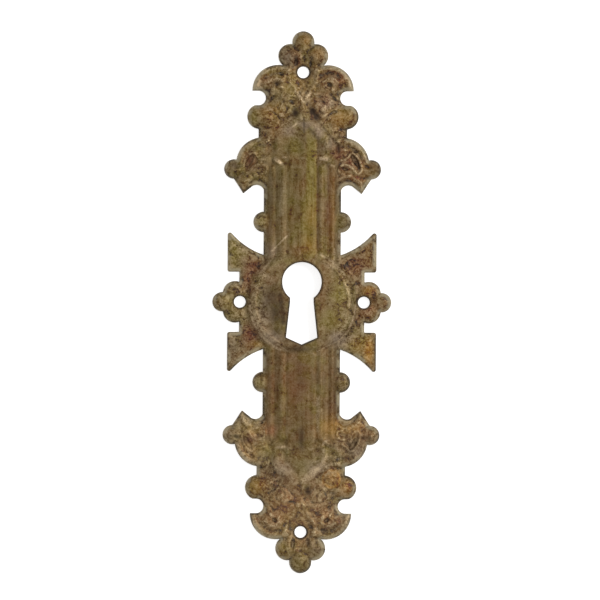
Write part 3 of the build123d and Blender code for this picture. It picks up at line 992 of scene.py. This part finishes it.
# Materials
def srgb(red, green, blue):
    """A colour as the eye reads it in a picture, from 0 to 255, as the shader needs it."""
    shares = [channel / 255 for channel in (red, green, blue)]
    return tuple(c / 12.92 if c <= 0.04045 else ((c + 0.055) / 1.055) ** 2.4 for c in shares) + (1.0,)


brown = srgb(101, 80, 48)
light_brown = srgb(114, 93, 57)
greenish = srgb(110, 97, 47)
reddish = srgb(110, 80, 46)
stain_and_lit_facet_paints = {
    "olive": srgb(114, 99, 44),
    "red": srgb(114, 68, 38),
    "gold": srgb(156, 114, 50),
    "grey": srgb(126, 108, 90),
}
rim_band = srgb(118, 106, 80)
# Pale colour for rubbed marks and for the painted glints.
rubbed_and_glint_bright = srgb(180, 157, 124)
worn_crest_and_highlight = srgb(166, 145, 110)
dirt = srgb(57, 38, 7)
hollow_dirt = srgb(60, 41, 15)
pit_dirt_and_shade = srgb(46, 31, 16)
back_brown = srgb(104, 84, 54)
edge_dark = srgb(60, 52, 36)
edge_bright = srgb(166, 154, 126)
hole_dark = srgb(60, 50, 36)
lift_colour = (0.11, 0.09, 0.058)
darkest = (0.02, 0.012, 0.005)

# Grain of the colour: each a size, a fineness of detail and, for some, a curl
broad_grain = (4.2, 3)
hue_grain = (2.8, 1)
mottle_grain = (1.2, 4, 0.8)
fleck_grain = (0.6, 3, 1.5)
speck_grain = (0.3, 2)
run_grain = (2.4, 2)
streak_grain = (0.6, 3)
streak_squeeze = 0.09

# Spans: each two ends of a grain, a relief or a distance, and what it gives there if not 0 and 1
ground_span = (0.35, 0.65)
greenish_span = (0.5, 0.66, 0, 0.5)
reddish_span = (0.48, 0.34, 0, 0.5)
break_span = (0.36, 0.58, 0.65, 1)
rim_band_span = (1.1, 0.15)
pale_span = (0.4, 0.58, 0.35, 1)
crest_span = (0.02, 0.14)
crest_fleck_span = (0.42, 0.6, 0.2, 0.8)
crest_rim_span = (0.8, 1.6, 0.55, 1)
dirt_span = (-0.02, -0.13)
leaf_dirt_span = (0, 1, 0.1, 0.7)
hollow_span = (0.15, 0.8)
swing_span = (0.25, 0.75)
back_span = (0.3, 0.7, 0.45, 0.8)
edge_span = (0.45, 0.2)
edge_dark_span = (0.5, 0.6, 0, 0.7)
edge_line_span = (0.9, 0.3)
edge_bright_span = (0.53, 0.42, 0, 0.65)
hole_span = (0.5, 0.15)
rough_span = (0.3, 0.7, 0.44, 0.62)

# Shares of some paints, the worn crests with their painted highlight left on smoother places, and swings
# to a darker or lighter colour
rim_band_share = 0.4
hollow_share = 0.2
hole_share = 0.6
crests_left = {"plain": 0.15, "ball": 0.25, "rubbed": 0.2}
mottle_swing = (-0.65, 0.65)
fleck_swing = (-0.5, 0.52)
speck_swing = (-0.25, 0.25)
streak_swing = (-0.3, 0.3)
broad_swings = {"worn": 0.26, "ball": -0.1}

# Shine and bumps of the brass, and the floor
crest_shine = 0.16
bump_depth = 0.06
floor_grey = (0.8, 0.8, 0.8, 1)
floor_glow = (0.75, 0.75, 0.75, 1)


def add_node(tree, kind, **settings):
    """One shader node with some of its properties set."""
    node = tree.nodes.new(kind)
    for name, value in settings.items():
        setattr(node, name, value)
    return node


def grain(tree, coordinates, size, detail, warp=0.0):
    """Noise with spots of about that many millimetres, curled by the warp."""
    node = add_node(tree, "ShaderNodeTexNoise")
    node.inputs["Distortion"].default_value = warp
    node.inputs["Scale"].default_value = 1 / (size * MM)
    node.inputs["Detail"].default_value = detail
    node.inputs["Roughness"].default_value = 0.6
    tree.links.new(coordinates, node.inputs["Vector"])
    return node.outputs["Fac"]


def stretch(tree, value, low, high, to_low=0.0, to_high=1.0):
    """A value's range from low to high, stretched to another and held there."""
    node = add_node(tree, "ShaderNodeMapRange", interpolation_type="SMOOTHSTEP")
    node.inputs["From Min"].default_value = low
    node.inputs["From Max"].default_value = high
    node.inputs["To Min"].default_value = to_low
    node.inputs["To Max"].default_value = to_high
    tree.links.new(value, node.inputs["Value"])
    return node.outputs["Result"]


def times(tree, one, other, operation="MULTIPLY"):
    """Two values multiplied, or joined by another operation. The second may be a plain number."""
    node = add_node(tree, "ShaderNodeMath", operation=operation)
    tree.links.new(one, node.inputs[0])
    if isinstance(other, (int, float)):
        node.inputs[1].default_value = other
    else:
        tree.links.new(other, node.inputs[1])
    return node.outputs[0]


def tint(tree, share, base, colour):
    """A colour laid over another by share."""
    node = add_node(tree, "ShaderNodeMix", data_type="RGBA")
    tree.links.new(share, node.inputs["Factor"])
    tree.links.new(base, node.inputs["A"])
    node.inputs["B"].default_value = colour
    return node.outputs["Result"]


def value_of(tree, name):
    """A value kept at the skin's points."""
    return add_node(tree, "ShaderNodeAttribute", attribute_name=name).outputs["Fac"]


def lift(tree, colour, swing):
    """A colour made lighter or darker by a swing around nought, down to a darkest brown."""
    node = add_node(tree, "ShaderNodeVectorMath", operation="MULTIPLY_ADD")
    tree.links.new(swing, node.inputs[0])
    node.inputs[1].default_value = lift_colour
    tree.links.new(colour, node.inputs[2])
    floor = add_node(tree, "ShaderNodeVectorMath", operation="MAXIMUM")
    tree.links.new(node.outputs["Vector"], floor.inputs[0])
    floor.inputs[1].default_value = darkest
    return floor.outputs["Vector"]


def seen_directly(tree):
    """1 where a ray comes from the camera, off a shine or through something clear, and 0 elsewhere."""
    path = add_node(tree, "ShaderNodeLightPath")
    seen = times(tree, path.outputs["Is Camera Ray"], path.outputs["Is Glossy Ray"], "MAXIMUM")
    return times(tree, seen, path.outputs["Is Transmission Ray"], "MAXIMUM")


def aged_brass():
    """Tarnished brass: olive brown, worn golden in places, dark in hollows and grey at the edges, with
    painted light on its crests and on the shaft's lit facet, and a few painted glints and shadows.
    """
    material = bpy.data.materials.new("aged_brass")
    material.use_nodes = True
    tree = material.node_tree
    shader = tree.nodes["Principled BSDF"]
    place = add_node(tree, "ShaderNodeTexCoord").outputs["Object"]
    along = add_node(tree, "ShaderNodeMapping")
    along.inputs["Scale"].default_value = (1.0, streak_squeeze, 1.0)
    tree.links.new(place, along.inputs["Vector"])
    broad = grain(tree, place, *broad_grain)
    hue = grain(tree, place, *hue_grain)
    mottle = grain(tree, place, *mottle_grain)
    fleck = grain(tree, place, *fleck_grain)
    speck = grain(tree, place, *speck_grain)
    run = grain(tree, place, *run_grain)
    streak = grain(tree, along.outputs["Vector"], *streak_grain)
    busy = value_of(tree, "busy")
    shaft = value_of(tree, "shaft")
    rim = value_of(tree, "rim")
    proud = value_of(tree, "proud")

    # Ground colour and stains, with the painted light of the shaft's lit facet carried in the olive stain
    ground = add_node(tree, "ShaderNodeMix", data_type="RGBA")
    ground.inputs["A"].default_value = brown
    ground.inputs["B"].default_value = light_brown
    tree.links.new(stretch(tree, broad, *ground_span), ground.inputs["Factor"])
    colour = ground.outputs["Result"]
    colour = tint(tree, stretch(tree, hue, *greenish_span), colour, greenish)
    colour = tint(tree, stretch(tree, hue, *reddish_span), colour, reddish)
    breaks = stretch(tree, mottle, *break_span)
    for patch_name, paint in stain_and_lit_facet_paints.items():
        colour = tint(tree, times(tree, value_of(tree, patch_name), breaks), colour, paint)
    colour = tint(tree, times(tree, stretch(tree, rim, *rim_band_span), rim_band_share), colour, rim_band)

    # Rubbed marks with a few painted glints, worn crests with a painted highlight on them, and dirt in the
    # hollows
    pale = times(tree, value_of(tree, "pale"), stretch(tree, fleck, *pale_span))
    colour = tint(tree, pale, colour, rubbed_and_glint_bright)
    # Painted highlight as well as wear: places that stand proud of their surroundings are tinted pale
    # gold.
    high = times(tree, stretch(tree, proud, *crest_span), stretch(tree, fleck, *crest_fleck_span))
    for smoother, share in crests_left.items():
        high = times(tree, high, stretch(tree, value_of(tree, smoother), 0, 1, 1.0, share))
    high = times(tree, high, stretch(tree, rim, *crest_rim_span))
    colour = tint(tree, high, colour, worn_crest_and_highlight)
    dirty = stretch(tree, value_of(tree, "leafy"), *leaf_dirt_span)
    colour = tint(tree, times(tree, stretch(tree, proud, *dirt_span), dirty), colour, dirt)
    deep = times(tree, stretch(tree, value_of(tree, "sunk"), *hollow_span), hollow_share)
    colour = tint(tree, deep, colour, hollow_dirt)

    # Unevenness, broad wear, dark pits with some painted shade, and the back
    for pattern, ends, where in (
        (mottle, mottle_swing, busy),
        (fleck, fleck_swing, busy),
        (speck, speck_swing, busy),
        (streak, streak_swing, shaft),
    ):
        swing = stretch(tree, pattern, *swing_span, *ends)
        colour = lift(tree, colour, times(tree, swing, where))
    for name, swing in broad_swings.items():
        colour = lift(tree, colour, times(tree, value_of(tree, name), swing))
    # Dark pits and dirt, and the painted shade under the finial ball and on the boss's left side.
    colour = tint(tree, times(tree, value_of(tree, "dark"), breaks), colour, pit_dirt_and_shade)
    behind = times(tree, value_of(tree, "behind"), stretch(tree, mottle, *back_span))
    colour = tint(tree, behind, colour, back_brown)

    # Edges: dark along some runs and bright along others, and dark round the piercings
    outermost = stretch(tree, value_of(tree, "inset"), *edge_span)
    colour = tint(tree, times(tree, outermost, stretch(tree, run, *edge_dark_span)), colour, edge_dark)
    line = times(tree, stretch(tree, rim, *edge_line_span), stretch(tree, run, *edge_bright_span))
    colour = tint(tree, line, colour, edge_bright)
    hole = times(tree, stretch(tree, value_of(tree, "hole"), *hole_span), hole_share)
    colour = tint(tree, hole, colour, hole_dark)
    tree.links.new(colour, shader.inputs["Base Color"])

    # Shine
    rough = stretch(tree, mottle, *rough_span)
    rough = times(tree, rough, times(tree, high, crest_shine), "SUBTRACT")
    tree.links.new(rough, shader.inputs["Roughness"])
    shader.inputs["Metallic"].default_value = 0.5
    shader.inputs["Specular IOR Level"].default_value = 0.3
    bump = add_node(tree, "ShaderNodeBump")
    bump.inputs["Strength"].default_value = 0.5
    bump.inputs["Distance"].default_value = bump_depth * MM
    tree.links.new(times(tree, fleck, speck, "ADD"), bump.inputs["Height"])
    tree.links.new(bump.outputs["Normal"], shader.inputs["Normal"])
    return material


def white_floor():
    """A sheet seen as white from above that still takes the plate's shadow, and is clear from below."""
    material = bpy.data.materials.new("white_floor")
    material.use_nodes = True
    tree = material.node_tree
    tree.nodes.remove(tree.nodes["Principled BSDF"])
    out = tree.nodes["Material Output"]
    matt = add_node(tree, "ShaderNodeBsdfDiffuse")
    matt.inputs["Color"].default_value = floor_grey
    glow = add_node(tree, "ShaderNodeEmission")
    glow.inputs["Color"].default_value = floor_glow
    both = add_node(tree, "ShaderNodeAddShader")
    tree.links.new(seen_directly(tree), glow.inputs["Strength"])
    tree.links.new(matt.outputs[0], both.inputs[0])
    tree.links.new(glow.outputs[0], both.inputs[1])
    clear = add_node(tree, "ShaderNodeBsdfTransparent")
    side = add_node(tree, "ShaderNodeMixShader")
    facing = add_node(tree, "ShaderNodeNewGeometry")
    tree.links.new(facing.outputs["Backfacing"], side.inputs["Fac"])
    tree.links.new(both.outputs[0], side.inputs[1])
    tree.links.new(clear.outputs[0], side.inputs[2])
    tree.links.new(side.outputs[0], out.inputs["Surface"])
    return material


skin.materials.append(aged_brass())
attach(plate, "root")
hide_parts("escutcheon")

# Floor, in metres, just under the plate's back
floor_half = 1.5
floor_drop = 0.00002
floor_mesh = bpy.data.meshes.new("floor")
corners = [(-1, -1), (1, -1), (1, 1), (-1, 1)]
floor_points = [(a * floor_half, b * floor_half, -floor_drop) for a, b in corners]
floor_mesh.from_pydata(floor_points, [], [(0, 1, 2, 3)])
floor_mesh.materials.append(white_floor())
floor = bpy.data.objects.new("floor", floor_mesh)
bpy.context.scene.collection.objects.link(floor)


# Light and camera, with the lamps' places and sides in metres
def lamp(name, place, side, watts):
    """A square soft light aimed at the plate's middle."""
    light = bpy.data.lights.new(name, "AREA")
    light.size = side
    light.energy = watts
    light_object = bpy.data.objects.new(name, light)
    light_object.location = place
    light_object.rotation_euler = (-Vector(place)).to_track_quat("-Z", "Y").to_euler()
    bpy.context.scene.collection.objects.link(light_object)


lamp("key", (0.36, 0.16, 0.46), 0.25, 1.65)
lamp("fill", (-0.1, 0.1, 0.6), 0.5, 0.3)

sky_light = 0.35
world = bpy.data.worlds.new("studio")
world.use_nodes = True
bpy.context.scene.world = world
sky_tree = world.node_tree
sky = sky_tree.nodes["Background"]
sky.inputs["Color"].default_value = (1, 1, 1, 1)
sky_strength = add_node(sky_tree, "ShaderNodeMapRange")
sky_strength.inputs["To Min"].default_value = sky_light
sky_strength.inputs["To Max"].default_value = 1.0
sky_tree.links.new(seen_directly(sky_tree), sky_strength.inputs["Value"])
sky_tree.links.new(sky_strength.outputs["Result"], sky.inputs["Strength"])

camera = bpy.data.cameras.new("camera")
camera.sensor_width = sensor_width
camera.lens = sensor_width * camera_height / (image_side * mm_per_px)
camera_object = bpy.data.objects.new("camera", camera)
turn = radians(plate_turn)
right = (image_side / 2 - centre_px[0]) * mm_per_px
up = (centre_px[1] - image_side / 2) * mm_per_px
camera_object.location = (
    (right * cos(turn) - up * sin(turn)) * MM,
    (right * sin(turn) + up * cos(turn)) * MM,
    camera_height * MM,
)
camera_object.rotation_euler = (0, 0, turn)
bpy.context.scene.collection.objects.link(camera_object)
bpy.context.scene.camera = camera_object
bpy.context.scene.view_settings.view_transform = "Standard"
